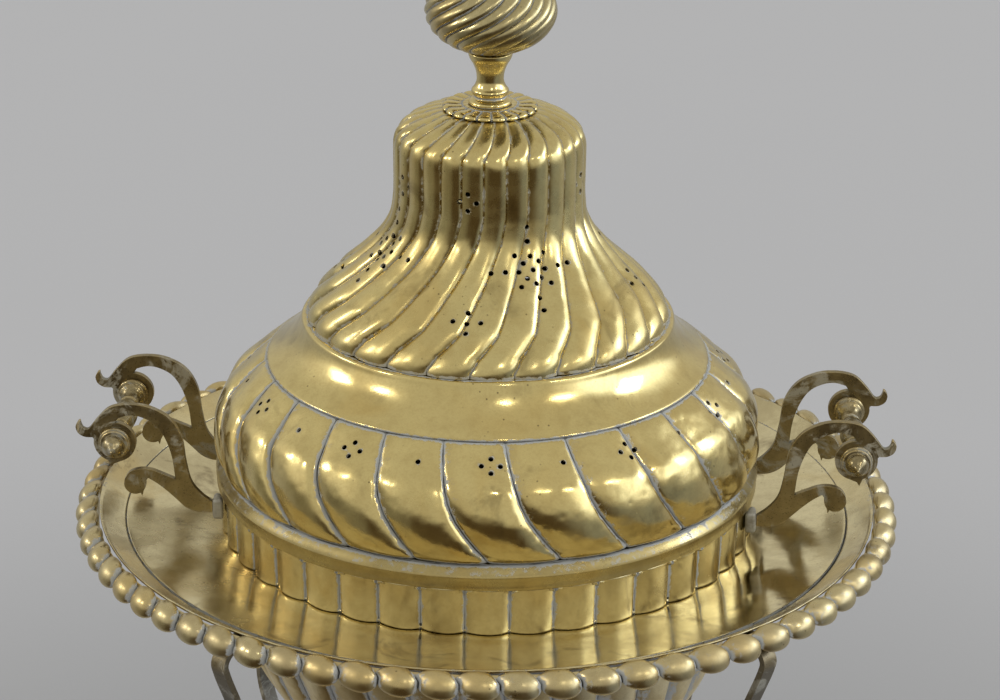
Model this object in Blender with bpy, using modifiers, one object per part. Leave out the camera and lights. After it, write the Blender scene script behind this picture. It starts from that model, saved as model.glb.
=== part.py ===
"""Floor-standing lidded brass brazier: stand with tray, lift-out fire pan with turned grips, pierced cover."""

import bpy
import bmesh
from math import atan2, cos, pi, radians, sin
from mathutils import Matrix, Vector

# Driving dimensions, metres. Heights of the tray, pan and cover are counted from the tray's flat floor.
TRAY_Z = 0.430
TRAY_HOLE_R = 0.200
TRAY_RIDGE_R = 0.305
BEAD_R = 0.325
DRUM_R = 0.210
BAND_R = 0.2134
FOOT_R = 0.228
FOOT_THICK = 0.010
SHEET = 0.0022
GAP = 0.0003
LEG_ANGLES = (-126, -46, 54, 134)
LEG_WIDTH, LEG_THICK = 0.013, 0.005
LEG_RIVET_R = 0.204
TIE_R, STUD_R, ROD_R = 0.006, 0.004, 0.003
BRACKET_X, BRACKET_Z = 0.2123, 0.015
BRACKET_Y, BRACKET_HALF = 0.050, 0.0025
GRIP_X, GRIP_Z = 0.2873, 0.0684
BULB_R, BULB_HALF, BULB_Z = 0.0495, 0.0335, 0.4080
RING_STEPS, MID_STEPS, SMALL_STEPS = 32, 20, 16

# Colour, roughness and metallic of each sub-part, by name prefix. The first match counts.
LOOKS = (
    ("leg_", (0.17, 0.12, 0.065), 0.45, 1.0),
    ("bracket_", (0.20, 0.15, 0.085), 0.42, 1.0),
    ("boss_", (0.52, 0.51, 0.47), 0.5, 0.8),
    ("fire_bowl", (0.10, 0.085, 0.075), 0.75, 0.7),
    ("grip_rod", (0.35, 0.33, 0.30), 0.45, 1.0),
    ("tie_", (0.35, 0.33, 0.30), 0.5, 1.0),
    ("finial_nut", (0.35, 0.33, 0.30), 0.5, 1.0),
    ("finial_washer", (0.35, 0.33, 0.30), 0.5, 1.0),
    ("finial_stud", (0.35, 0.33, 0.30), 0.5, 1.0),
    ("stand_bowl", (0.42, 0.29, 0.12), 0.38, 1.0),
    ("tray", (0.60, 0.47, 0.21), 0.22, 1.0),
    ("", (0.58, 0.45, 0.20), 0.3, 1.0),
)


def clear_scene():
    for obj in list(bpy.data.objects):
        bpy.data.objects.remove(obj, do_unlink=True)


def new_collection(name, cutters=False):
    made = bpy.data.collections.new(name)
    bpy.context.scene.collection.children.link(made)
    made.hide_render = cutters
    return made


def material_for(name):
    colour, roughness, metallic = next(look[1:] for look in LOOKS if name.startswith(look[0]))
    made = bpy.data.materials.new(name)
    made.use_nodes = True
    shader = made.node_tree.nodes["Principled BSDF"]
    shader.inputs["Base Color"].default_value = (*colour, 1.0)
    shader.inputs["Roughness"].default_value = roughness
    shader.inputs["Metallic"].default_value = metallic
    return made


def add_object(name, mesh, origin=(0, 0, 0), cutter=False):
    """A mesh whose points are in the object's frame becomes a placed object with its own material."""
    obj = bpy.data.objects.new(name, mesh)
    obj.location = origin
    if cutter:
        obj.display_type = "WIRE"
        obj.hide_render = True
        CUTTERS.objects.link(obj)
    else:
        mesh.materials.append(material_for(name))
        PARTS.objects.link(obj)
    return obj


def shade_round(obj, angle=35):
    for face in obj.data.polygons:
        face.use_smooth = True
    obj.data.set_sharp_from_angle(angle=radians(angle))


def turned(name, profile, steps=RING_STEPS, closed=False, sheet=0.0, base=TRAY_Z):
    """Turn (radius, height) points about Z. They run down the outer side; sheet > 0 makes a shell of them."""
    mesh = bpy.data.meshes.new(name)
    points = [(r, 0.0, z) for r, z in profile]
    edges = [(i, i + 1) for i in range(len(points) - 1)]
    if closed:
        edges.append((len(points) - 1, 0))
    mesh.from_pydata(points, edges, [])
    obj = add_object(name, mesh, (0, 0, base))
    screw = obj.modifiers.new("Turn", "SCREW")
    screw.axis, screw.angle = "Z", 2 * pi
    screw.steps = screw.render_steps = steps
    screw.use_merge_vertices, screw.merge_threshold = True, 0.0001
    screw.use_normal_calculate = False
    screw.use_smooth_shade = True
    if sheet:
        shell = obj.modifiers.new("Sheet", "SOLIDIFY")
        shell.thickness, shell.offset = sheet, -1.0
        shell.use_even_offset = True
    return obj


def freeze(obj):
    """Apply the modifiers, so that a Boolean works on a plain mesh."""
    graph = bpy.context.evaluated_depsgraph_get()
    mesh = bpy.data.meshes.new_from_object(obj.evaluated_get(graph))
    obj.modifiers.clear()
    obj.data = mesh
    return obj


def turn_frozen_upright(obj, matrix):
    freeze(obj)
    obj.data.transform(matrix)
    return obj


def rod(name, radius, low, high, steps=SMALL_STEPS, base=TRAY_Z):
    return turned(name, [(0, high), (radius, high), (radius, low), (0, low)], steps, base=base)


def cut(obj, cutter):
    step = obj.modifiers.new("Cut " + cutter.name, "BOOLEAN")
    step.operation, step.solver, step.object = "DIFFERENCE", "EXACT", cutter


def round_cutter(name, spots, radius, depth, turn=Matrix(), steps=SMALL_STEPS):
    """One cutter mesh of cylinders along the local Z of turn, centred on the spots."""
    mesh, work = bpy.data.meshes.new(name), bmesh.new()
    for spot in spots:
        bmesh.ops.create_cone(
            work, cap_ends=True, segments=steps, radius1=radius, radius2=radius,
            depth=depth, matrix=Matrix.Translation(spot) @ turn,
        )
    work.to_mesh(mesh)
    work.free()
    return add_object(name, mesh, cutter=True)


def prism(name, outline, half, origin, matrix=Matrix()):
    """A flat outline in X and Z, thickened to both sides along Y, then turned by matrix."""
    mesh, work = bpy.data.meshes.new(name), bmesh.new()
    front = [work.verts.new((x, -half, z)) for x, z in outline]
    back = [work.verts.new((x, half, z)) for x, z in outline]
    work.faces.new(front)
    work.faces.new(back[::-1])
    for i in range(len(outline)):
        j = (i + 1) % len(outline)
        work.faces.new((front[j], front[i], back[i], back[j]))
    bmesh.ops.recalc_face_normals(work, faces=work.faces)
    bmesh.ops.transform(work, matrix=matrix, verts=work.verts)
    work.to_mesh(mesh)
    work.free()
    return add_object(name, mesh, origin)


def hex_nut(name, across, bore, low, high, base):
    """A six-sided nut with a round bore, its flats 'across' apart."""
    mesh, work = bpy.data.meshes.new(name), bmesh.new()
    bmesh.ops.create_cone(
        work, cap_ends=True, segments=6, radius1=across / 2 / cos(pi / 6), radius2=across / 2 / cos(pi / 6),
        depth=high - low, matrix=Matrix.Translation((0, 0, (low + high) / 2)),
    )
    work.to_mesh(mesh)
    work.free()
    obj = add_object(name, mesh, (0, 0, base))
    cut(obj, round_cutter(name + "_cutter", [Vector((0, 0, base + (low + high) / 2))], bore, 2 * (high - low)))
    return obj


def washer(name, radius, bore, low, high, base):
    loop = [(bore, high), (radius, high), (radius, low), (bore, low)]
    return turned(name, loop, SMALL_STEPS, closed=True, base=base)


def arc(centre, radius, start, end, count):
    """Points on a circle in the plate's plane, angles in degrees."""
    angles = [radians(start + (end - start) * i / (count - 1)) for i in range(count)]
    return [(centre[0] + radius * cos(a), centre[1] + radius * sin(a)) for a in angles]


def smooth_line(points, parts=3):
    """A Catmull-Rom line through the points, with that many steps between each two."""
    ends = [points[0], *points, points[-1]]
    line = []
    for a, b, c, d in zip(ends, ends[1:], ends[2:], ends[3:]):
        for k in range(parts):
            t = k / parts
            line.append(tuple(
                0.5 * (2 * q + (r - p) * t + (2 * p - 5 * q + 4 * r - s) * t * t + (3 * q - p - 3 * r + s) * t ** 3)
                for p, q, r, s in zip(a, b, c, d)
            ))
    return [*line, points[-1]]


def strip_outline(line, half):
    """The outline of a bar that follows a centre line."""
    left, right = [], []
    for i, point in enumerate(line):
        before, after = line[max(i - 1, 0)], line[min(i + 1, len(line) - 1)]
        angle = atan2(after[1] - before[1], after[0] - before[0])
        left.append((point[0] - half * sin(angle), point[1] + half * cos(angle)))
        right.append((point[0] + half * sin(angle), point[1] - half * cos(angle)))
    return left + right[::-1]


# ---- stand -------------------------------------------------------------------------------------------

def make_foot():
    low, high, inner = 0.0, FOOT_THICK, 0.185
    ring = turned("foot_ring", [
        (inner, high), (FOOT_R - 0.004, high), (FOOT_R, high - 0.003), (FOOT_R, low + 0.002),
        (FOOT_R - 0.002, low), (inner, low),
    ], closed=True, base=0)
    freeze(ring)
    spots = [Vector((LEG_RIVET_R * cos(radians(a)), LEG_RIVET_R * sin(radians(a)), high)) for a in LEG_ANGLES]
    cut(ring, round_cutter("foot_hole_cutter", spots, 0.0030, 0.012))
    turned("foot_dome", [
        (0.007, 0.0900), (0.038, 0.0900), (0.043, 0.0800), (0.058, 0.0665), (0.085, 0.0560), (0.125, 0.0470),
        (0.158, 0.0340), (0.184, 0.0250), (0.1955, 0.0180), (0.1955, high + GAP),
    ], sheet=SHEET, base=0)


def make_stem():
    bore = TIE_R + 0.001
    pieces = {
        "stem_lower": [(0.026, 0.1235), (0.020, 0.1180), (0.024, 0.1080), (0.038, 0.1000), (0.042, 0.0950),
                       (0.040, 0.0903)],
        "stem_knob": [(0.030, 0.1605), (0.042, 0.1570), (0.054, 0.1490), (0.056, 0.1400), (0.047, 0.1290),
                      (0.030, 0.1238)],
        "stem_upper": [(0.046, 0.1897), (0.040, 0.1835), (0.026, 0.1765), (0.022, 0.1680), (0.026, 0.1608)],
    }
    for name, outer in pieces.items():
        turned(name, [(bore, outer[0][1]), *outer, (bore, outer[-1][1])], MID_STEPS, closed=True, base=0)
    rod("tie_rod", TIE_R, 0.0700, 0.2085, base=0)
    washer("tie_washer_lower", 0.016, 0.0068, 0.0856, 0.0875, 0)
    hex_nut("tie_nut_lower", 0.024, 0.0066, 0.0760, 0.0853, 0)
    washer("tie_washer_upper", 0.016, 0.0068, 0.1925, 0.1945, 0)
    hex_nut("tie_nut_upper", 0.024, 0.0066, 0.1948, 0.2040, 0)


def make_bowl_and_tray():
    turned("stand_bowl", [
        (0.2050, -0.0127), (0.2045, -0.0450), (0.1980, -0.0850), (0.1760, -0.1370), (0.1650, -0.1550),
        (0.1450, -0.1800), (0.1180, -0.2030), (0.0850, -0.2220), (0.0360, -0.2400), (0.0070, -0.2400),
    ], sheet=SHEET)
    turned("tray", [
        (TRAY_HOLE_R, -0.0104), (0.213, -0.0104), (0.286, 0.0), (TRAY_RIDGE_R, 0.0108),
    ], sheet=0.002)
    start = TRAY_RIDGE_R + 0.0014
    turned("tray_bead", [
        (start, 0.0108), (0.313, 0.0112), (0.3195, 0.0088), (0.3240, 0.0050), (BEAD_R, 0.0015),
        (0.3230, -0.0025), (0.3180, -0.0048), (0.3110, -0.0050), (start, -0.0030),
    ], closed=True)


def leg_line():
    """Centre line of a support as (radius, height over the tray), from the tab under the tray to the foot."""
    return smooth_line([
        (0.252, -0.0101), (0.284, -0.0057), (0.302, -0.0078), (0.3115, -0.0160), (0.3095, -0.0280),
        (0.2960, -0.0600), (0.2800, -0.1000), (0.2720, -0.1450), (0.2780, -0.1950), (0.2920, -0.2400),
        (0.2950, -0.2720), (0.2800, -0.3050), (0.2520, -0.3300), (0.2310, -0.3580), (0.2260, -0.3900),
        (0.2230, -0.4070), (0.2160, -0.4145), (0.2090, -0.4168), (0.2000, -0.4168), (0.1975, -0.4168),
    ], 2)


def make_legs():
    outline = strip_outline(leg_line(), LEG_THICK / 2)
    for number, angle in enumerate(LEG_ANGLES, 1):
        turn = Matrix.Rotation(radians(angle), 4, "Z")
        leg = prism(f"leg_{number}", outline, LEG_WIDTH / 2, (0, 0, TRAY_Z), turn)
        spot = Vector((LEG_RIVET_R * cos(radians(angle)), LEG_RIVET_R * sin(radians(angle)), FOOT_THICK))
        cut(leg, round_cutter(f"leg_{number}_cutter", [spot], 0.0030, 0.030))
        rivet = turned(f"leg_rivet_{number}", [
            (0, 0.0192), (0.0030, 0.0186), (0.0050, 0.0165), (0.0050, 0.0161), (0.0025, 0.0161), (0.0025, 0.0055),
            (0, 0.0055),
        ], 12, base=0)
        rivet.location = (spot.x, spot.y, 0)


# ---- pan ---------------------------------------------------------------------------------------------

def make_pan():
    turned("pan_wall", [(DRUM_R, 0.0273), (DRUM_R, -0.0101), (0.1960, -0.0101)], sheet=0.0025)
    turned("fire_bowl", [
        (0.2060, -0.0073), (0.1925, -0.0073), (0.1915, -0.0300), (0.1800, -0.0560), (0.1550, -0.0750),
        (0.1200, -0.0850), (0.0, -0.0850),
    ], sheet=0.0018)


def bracket_outline():
    """The scrolled plate in millimetres: out from the boss, and up."""
    disc, volute = (75.0, 53.4), (60.4, 18.2)
    outer = smooth_line([(0, 4.4), (8, 10.4), (16, 21), (20, 38), (23, 59), (32, 74.5), (47, 83.2), (63, 85.4),
                         (78, 82.5), (88, 73.2), (96, 63.8)], 2)
    hook = [(101.6, 70.5), (105.2, 66), (103.6, 60.5), (98.6, 57.3)]
    disc_side = arc(disc, 16.5, 18, -70, 6) + [(78.2, 32.5), (73, 37.2)] + arc(disc, 16.5, -118, -268, 9)
    inner = smooth_line([(71.5, 74.0), (63, 76.2), (54, 75.0), (43.5, 69.2), (36, 58), (30.8, 42), (28.6, 23)], 2)
    branch = smooth_line([(28.6, 23), (39, 27.5), (48, 30.8), (57, 31.0), (64.5, 28)], 2)[1:]
    curl = arc(volute, 8.6, 20, -190, 9)
    lower = smooth_line([(50, 23.6), (43, 19.3), (35, 12.7), (28, 6), (21, -0.6), (12, -4.4), (0, -4.4)], 2)
    return [(x / 1000, z / 1000) for x, z in outer + hook + disc_side + inner + branch + curl + lower]


def make_handle(side, sign):
    """Two brackets, their bosses, the rod, two acorn nuts and the turned grip on one side of the pan."""
    outline = [(sign * x, z) for x, z in bracket_outline()]
    along_y = Matrix.Rotation(radians(-90), 4, "X")
    for end, y in (("front", -BRACKET_Y), ("back", BRACKET_Y)):
        plate = prism(f"bracket_{side}_{end}", outline, BRACKET_HALF, (sign * BRACKET_X, y, TRAY_Z + BRACKET_Z))
        hole = Vector((sign * GRIP_X, y, TRAY_Z + GRIP_Z))
        cut(plate, round_cutter(f"bracket_{side}_{end}_cutter", [hole], ROD_R + 0.0004, 0.02, along_y))
        make_boss(f"boss_{side}_{end}", sign, y)
    grip_rod = rod(f"grip_rod_{side}", ROD_R, -0.0600, 0.0600, MID_STEPS)
    turn_frozen_upright(grip_rod, along_y).location = (sign * GRIP_X, 0, TRAY_Z + GRIP_Z)
    for end, flip in (("front", 1), ("back", -1)):
        acorn = turned(f"acorn_{side}_{end}", [
            (0, 0.0735), (0.0022, 0.0705), (0.0072, 0.0660), (0.0092, 0.0612), (0.0092, 0.0588), (0.0120, 0.0572),
            (0.0126, 0.0548), (0.0112, 0.0528), (0.0034, 0.0528), (0.0034, 0.0605), (0, 0.0605),
        ], SMALL_STEPS)
        turn = Matrix.Rotation(radians(90 * flip), 4, "X")
        turn_frozen_upright(acorn, turn).location = (sign * GRIP_X, 0, TRAY_Z + GRIP_Z)
    make_grip(f"grip_{side}", sign, along_y)


def make_boss(name, sign, y):
    mesh, work = bpy.data.meshes.new(name), bmesh.new()
    bmesh.ops.create_cube(work, size=1.0, matrix=Matrix.Diagonal((0.0160, 0.0160, 0.0180, 1)))
    work.to_mesh(mesh)
    work.free()
    boss = add_object(name, mesh, (sign * 0.2040, y, TRAY_Z + BRACKET_Z))
    cut(boss, DRUM_CUTTER)


def make_grip(name, sign, along_y):
    half = [(0.0118, 0.0470), (0.0125, 0.0440), (0.0094, 0.0415), (0.0106, 0.0390), (0.0062, 0.0335),
            (0.0050, 0.0265), (0.0070, 0.0220), (0.0092, 0.0120)]
    bore = ROD_R + 0.00009
    loop = [(bore, 0.0470), *half, (0.0100, 0.0), *[(r, -z) for r, z in reversed(half)], (bore, -0.0470)]
    grip = turned(name, loop, MID_STEPS, closed=True)
    turn_frozen_upright(grip, along_y).location = (sign * GRIP_X, 0, TRAY_Z + GRIP_Z)


# ---- cover -------------------------------------------------------------------------------------------

def make_cover():
    turned("cover_base_band", [
        (0.2030, 0.0455), (0.2060, 0.0455), (0.2130, 0.0385), (BAND_R, 0.0370), (BAND_R, 0.0290), (0.2126, 0.0276),
        (0.2052, 0.0276), (0.2052, 0.0200), (0.2030, 0.0200),
    ], closed=True)
    turned("gadroon_ring", [
        (0.1620, 0.1288), (0.1730, 0.1288), (0.1900, 0.1155), (0.2007, 0.1070), (0.2105, 0.0900), (0.2140, 0.0745),
        (0.2146, 0.0640), (0.2129, 0.0550), (0.2100, 0.0485), (0.2050, 0.0459),
    ], sheet=SHEET)
    turned("cavetto_ring", [
        (0.1320, 0.1640), (0.1460, 0.1640), (0.1475, 0.1628), (0.1500, 0.1545), (0.1570, 0.1430), (0.1720, 0.1312),
        (0.1720, 0.1291),
    ], sheet=SHEET)
    turned("bell", [
        (0.0075, 0.3312), (0.0370, 0.3300), (0.0600, 0.3212), (0.0712, 0.3145), (0.0735, 0.3090), (0.0735, 0.2640),
        (0.0756, 0.2485), (0.0800, 0.2380), (0.0870, 0.2270), (0.1010, 0.2120), (0.1220, 0.1930), (0.1350, 0.1785),
        (0.1396, 0.1700), (0.1396, 0.1643),
    ], sheet=0.0020)


def make_finial():
    turned("rosette", [
        (0.0065, 0.3338), (0.0200, 0.3338), (0.0310, 0.3331), (0.0360, 0.3320), (0.0365, 0.3310), (0.0360, 0.3305),
        (0.0065, 0.3316),
    ], MID_STEPS, closed=True)
    turned("finial_stem", [
        (0.0050, 0.3760), (0.0160, 0.3742), (0.0128, 0.3665), (0.0105, 0.3575), (0.0108, 0.3515), (0.0141, 0.3450),
        (0.0118, 0.3403), (0.0163, 0.3362), (0.0160, 0.3341), (0.0050, 0.3341),
    ], MID_STEPS, closed=True)
    ring = [radians(76 - 147 * i / 9) for i in range(10)]
    side = [(BULB_R * cos(a), BULB_Z + BULB_HALF * sin(a)) for a in ring]
    turned("finial_bulb", [(0.0055, side[0][1]), *side, (0.0055, side[-1][1])], MID_STEPS, sheet=0.0018)
    turned("finial_tip", [
        (0, 0.4743), (0.0030, 0.4713), (0.0095, 0.4613), (0.0115, 0.4538), (0.0085, 0.4473), (0.0110, 0.4443),
        (0.0130, 0.4412), (0.0045, 0.4412), (0.0045, 0.4543), (0, 0.4543),
    ], SMALL_STEPS)
    rod("finial_stud", STUD_R, 0.3150, 0.4538)
    washer("finial_washer", 0.012, 0.0046, 0.3268, 0.3284, TRAY_Z)
    hex_nut("finial_nut", 0.014, 0.0045, 0.3198, 0.3265, TRAY_Z)


clear_scene()
PARTS = new_collection("lidded_brazier")
CUTTERS = new_collection("cutters", cutters=True)
make_foot()
make_stem()
make_bowl_and_tray()
make_legs()
make_pan()
DRUM_CUTTER = round_cutter("drum_cutter", [Vector((0, 0, TRAY_Z))], DRUM_R + GAP, 0.2, steps=4 * RING_STEPS)
make_handle("left", -1)
make_handle("right", 1)
make_cover()
make_finial()
for part in PARTS.objects:
    if not part.modifiers or part.modifiers[0].type != "SCREW":
        shade_round(part)
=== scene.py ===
"""Surface, materials, light and camera for the lidded brass brazier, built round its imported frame."""

from math import cos, pi, radians, sin

import bmesh
import bpy
import numpy as np
from mathutils import Matrix, Vector


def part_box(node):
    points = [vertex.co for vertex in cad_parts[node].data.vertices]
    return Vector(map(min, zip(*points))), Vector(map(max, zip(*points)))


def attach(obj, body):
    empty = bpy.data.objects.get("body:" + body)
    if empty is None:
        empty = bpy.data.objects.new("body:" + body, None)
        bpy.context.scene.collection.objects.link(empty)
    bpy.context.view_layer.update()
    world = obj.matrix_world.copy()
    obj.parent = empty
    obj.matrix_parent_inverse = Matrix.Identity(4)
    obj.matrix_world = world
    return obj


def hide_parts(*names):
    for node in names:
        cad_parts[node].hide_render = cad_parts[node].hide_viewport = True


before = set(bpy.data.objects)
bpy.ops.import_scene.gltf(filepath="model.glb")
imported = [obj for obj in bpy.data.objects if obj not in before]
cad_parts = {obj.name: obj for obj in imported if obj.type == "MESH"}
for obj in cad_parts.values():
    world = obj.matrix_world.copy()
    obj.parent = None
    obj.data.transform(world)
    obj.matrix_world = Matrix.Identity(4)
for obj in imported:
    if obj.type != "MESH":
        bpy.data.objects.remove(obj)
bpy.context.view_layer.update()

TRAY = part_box("pan_wall")[0][2] + 0.0101  # height of the tray's floor line; profiles count from it
GRIP_X = (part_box("grip_right")[0][0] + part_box("grip_right")[1][0]) / 2
GRIP_Z = (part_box("grip_right")[0][2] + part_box("grip_right")[1][2]) / 2
BRACKET_X, BRACKET_Z, BRACKET_Y = 0.2123, TRAY + 0.015, 0.050
LEG_ANGLES = (-126, -46, 54, 134)
VIEW_TURN = 2.3  # degrees from the front, towards +X; every pattern is counted from this side
BELL_FLUTES, GADROONS, PETALS, BULB_LOBES = 26, 24, 20, 18
DRUM_FLUTES, BEADS, BOWL_LOBES, KNOB_LOBES = 39, 68, 34, 20
HOLE_RADIUS = 0.0020
RING_COLUMNS, GRIP_COLUMNS = 360, 56
DRUM_RADIUS, BOSS_X, BOSS_SIZE = 0.2108, 0.2079, (0.0082, 0.0150, 0.0172)
PLATE_HALF, BAR_HALF = 0.0025, 0.0065  # half the thickness of a bracket, half the width of a support


# ---- mesh helpers ------------------------------------------------------------------------------------

def smooth_line(points, parts=8):
    """A Catmull-Rom line through the points. A point given twice makes a corner."""
    ends = [points[0], *points, points[-1]]
    line = []
    for a, b, c, d in zip(ends, ends[1:], ends[2:], ends[3:]):
        if b == c:
            continue
        for k in range(parts):
            t = k / parts
            line.append([
                0.5 * (2 * q + (r - p) * t + (2 * p - 5 * q + 4 * r - s) * t * t
                       + (3 * q - p - 3 * r + s) * t ** 3)
                for p, q, r, s in zip(a, b, c, d)
            ])
    return np.array([*line, points[-1]])


def resample(line, step):
    """The line with points a fixed distance apart."""
    along = np.concatenate([[0], np.cumsum(np.hypot(*np.diff(line, axis=0).T))])
    at = np.linspace(0, along[-1], max(4, int(along[-1] / step)))
    return np.stack([np.interp(at, along, line[:, 0]), np.interp(at, along, line[:, 1])], 1)


def lobe_angles(count, per_lobe, first=0.0):
    """Column angles, closer together near each seam, and each column's place across its lobe, -1 to 1."""
    across = np.sin(pi / 2 * (-1 + 2 * np.arange(per_lobe) / per_lobe))
    lobes = (np.arange(count)[:, None] + (across + 1) / 2).ravel()
    return lobes * 2 * pi / count + radians(first + VIEW_TURN), np.tile(across, count)


def even_angles(count):
    return np.arange(count) * 2 * pi / count


def peak(values, centre, width):
    """1 at the centre, fading to 0 on both sides."""
    return np.exp(-((values - centre) / width) ** 2)


def linked(name, data):
    obj = bpy.data.objects.new(name, data)
    bpy.context.scene.collection.objects.link(obj)
    return obj


def mesh_object(name, points, faces):
    mesh = bpy.data.meshes.new(name)
    mesh.from_pydata([tuple(p) for p in points], [], [tuple(f) for f in faces])
    mesh.update()
    mesh.shade_smooth()
    return linked(name, mesh)


def lathe(name, line, angles, push=0.0, groove=0.0, twist=0.0, wall=0.002, base=None):
    """Sweep a (radius, height) line round Z. push is along the normal; groove marks the dirty seams."""
    line = np.asarray(line)
    rows, cols = len(line), len(angles)
    run = np.gradient(line, axis=0)
    run /= np.maximum(np.hypot(run[:, 0], run[:, 1]), 1e-9)[:, None]
    push = np.broadcast_to(push, (rows, cols))
    radius = line[:, :1] - run[:, 1:] * push
    height = line[:, 1:] + run[:, :1] * push + (TRAY if base is None else base)
    angle = np.asarray(angles)[None, :] + np.broadcast_to(np.reshape(twist, (-1, 1)), (rows, 1))
    points = np.stack([radius * np.sin(angle), -radius * np.cos(angle), height], -1).reshape(-1, 3)
    i, j = np.meshgrid(np.arange(rows - 1), np.arange(cols), indexing="ij")
    k = (j + 1) % cols
    corners = [i * cols + j, (i + 1) * cols + j, (i + 1) * cols + k, i * cols + k]
    obj = mesh_object(name, points, np.stack(corners, -1).reshape(-1, 4))
    mark = obj.data.attributes.new("groove", "FLOAT", "POINT")
    mark.data.foreach_set("value", np.broadcast_to(groove, (rows, cols)).astype(np.float32).ravel())
    if wall:
        shell = obj.modifiers.new("Sheet", "SOLIDIFY")
        shell.thickness, shell.offset = wall, -1.0
    return obj


def turned(name, points, grooves, base=None, step=0.0012, cols=96):
    """A closed turned piece: from the axis, down its outer side and back. grooves are dirty heights."""
    line = resample(smooth_line(points), step)
    dirt = sum(peak(line[:, 1:], z, w) for z, w in grooves)
    obj = lathe(name, line, even_angles(cols), groove=np.clip(dirt, 0, 1), wall=0, base=base)
    close_ends(obj)
    return obj


def close_ends(obj):
    """Weld the axis points and fill the open ends, so that it is a solid."""
    work = bmesh.new()
    work.from_mesh(obj.data)
    bmesh.ops.remove_doubles(work, verts=work.verts, dist=2e-5)
    bmesh.ops.holes_fill(work, edges=[e for e in work.edges if e.is_boundary], sides=0)
    bmesh.ops.recalc_face_normals(work, faces=work.faces)
    work.to_mesh(obj.data)
    work.free()
    obj.data.shade_smooth()
    obj.data.set_sharp_from_angle(angle=radians(50))


def freeze(obj):
    """Make the modified shape the mesh itself."""
    graph = bpy.context.evaluated_depsgraph_get()
    mesh = bpy.data.meshes.new_from_object(obj.evaluated_get(graph))
    obj.modifiers.clear()
    obj.data = mesh


def pierce(obj, spots):
    """Drill small holes. A spot is (angle in degrees, radius, height, outward slope of the wall)."""
    work = bmesh.new()
    axes = []
    for turn, r, z, slope in spots:
        a = radians(turn + VIEW_TURN)
        out = Vector((sin(a) * cos(slope), -cos(a) * cos(slope), sin(slope)))
        where = Matrix.Translation((r * sin(a), -r * cos(a), TRAY + z))
        axes.append((where.translation, out))
        bmesh.ops.create_cone(work, cap_ends=True, segments=14, radius1=HOLE_RADIUS, radius2=HOLE_RADIUS,
                              depth=0.016, matrix=where @ out.to_track_quat("Z", "Y").to_matrix().to_4x4())
    mesh = bpy.data.meshes.new(obj.name + "_drill")
    work.to_mesh(mesh)
    work.free()
    drill = linked(obj.name + "_drill", mesh)
    cut = obj.modifiers.new("Holes", "BOOLEAN")
    cut.operation, cut.solver, cut.object = "DIFFERENCE", "MANIFOLD", drill
    freeze(obj)
    bpy.data.objects.remove(drill)
    pale_rims(obj, axes)
    obj.data.shade_smooth()
    obj.data.set_sharp_from_angle(angle=radians(50))


def pale_rims(obj, axes):
    """Mark the metal round each hole as dirty, where polish has dried."""
    count = len(obj.data.vertices)
    points = np.empty(count * 3)
    obj.data.vertices.foreach_get("co", points)
    points = points.reshape(-1, 3)
    mark = obj.data.attributes["groove"]
    values = np.empty(count, np.float32)
    mark.data.foreach_get("value", values)
    for centre, out in axes:
        apart = points - np.array(centre)
        away = np.linalg.norm(apart - (apart @ np.array(out))[:, None] * np.array(out), axis=1)
        near = np.linalg.norm(apart, axis=1) < 0.01
        values = np.maximum(values, near * 0.60 * np.exp(-(away / (HOLE_RADIUS * 1.7)) ** 4))
    mark.data.foreach_set("value", values.astype(np.float32))


def plate(name, outline, half, origin, bevel, turn=None):
    """A flat outline in X and Z, thickened along Y, with eased edges."""
    work = bmesh.new()
    front = [work.verts.new((x, -half, z)) for x, z in outline]
    back = [work.verts.new((x, half, z)) for x, z in outline]
    work.faces.new(front)
    work.faces.new(back[::-1])
    for i in range(len(outline)):
        j = (i + 1) % len(outline)
        work.faces.new((front[j], front[i], back[i], back[j]))
    bmesh.ops.recalc_face_normals(work, faces=work.faces)
    bmesh.ops.transform(work, matrix=Matrix.Translation(origin) @ (turn or Matrix()), verts=work.verts)
    mesh = bpy.data.meshes.new(name)
    work.to_mesh(mesh)
    work.free()
    obj = linked(name, mesh)
    ease = obj.modifiers.new("Eased", "BEVEL")
    ease.width, ease.segments, ease.limit_method, ease.angle_limit = bevel, 3, "ANGLE", radians(50)
    ease.harden_normals = True
    mesh.shade_smooth()
    mesh.set_sharp_from_angle(angle=radians(45))
    return obj


def finish_piece(obj, body, material, slot, *nodes):
    obj.data.materials.clear()
    obj.data.materials.append(material)
    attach(obj, body)
    if nodes:
        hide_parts(*nodes)


def lobed(deep, across, full, soft, lean=0.0):
    """How far each point moves along its normal: sunk in the seams, the crests leaning to one side."""
    rise = np.clip(1 - np.abs(across) ** full, 0, 1) ** (1 / soft)
    return -deep[:, None] * (1 - rise)[None, :] + deep[:, None] * lean * across[None, :] * rise[None, :]


def seam(across, count, line, wide, haze=0.0):
    """How deep in a seam each point is, with a broad haze of old polish along the start of each lobe."""
    distance = (1 - np.abs(across))[None, :] * line[:, :1] * (2 * pi / count) / 2
    broad = haze * peak(distance, 0.0, 3.6 * wide) * (across[None, :] < 0)
    return np.maximum(peak(distance, 0.0, wide), broad)


def ease_between(values, low, high):
    t = np.clip((values - low) / (high - low), 0, 1)
    return t * t * (3 - 2 * t)


# ---- materials ---------------------------------------------------------------------------------------

BRIGHT, DULL, WARM = (0.73, 0.605, 0.285), (0.52, 0.40, 0.17), (0.62, 0.44, 0.15)
TARNISH, CREVICE, DUST = (0.10, 0.065, 0.03), (0.035, 0.030, 0.025), (0.33, 0.345, 0.34)


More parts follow.
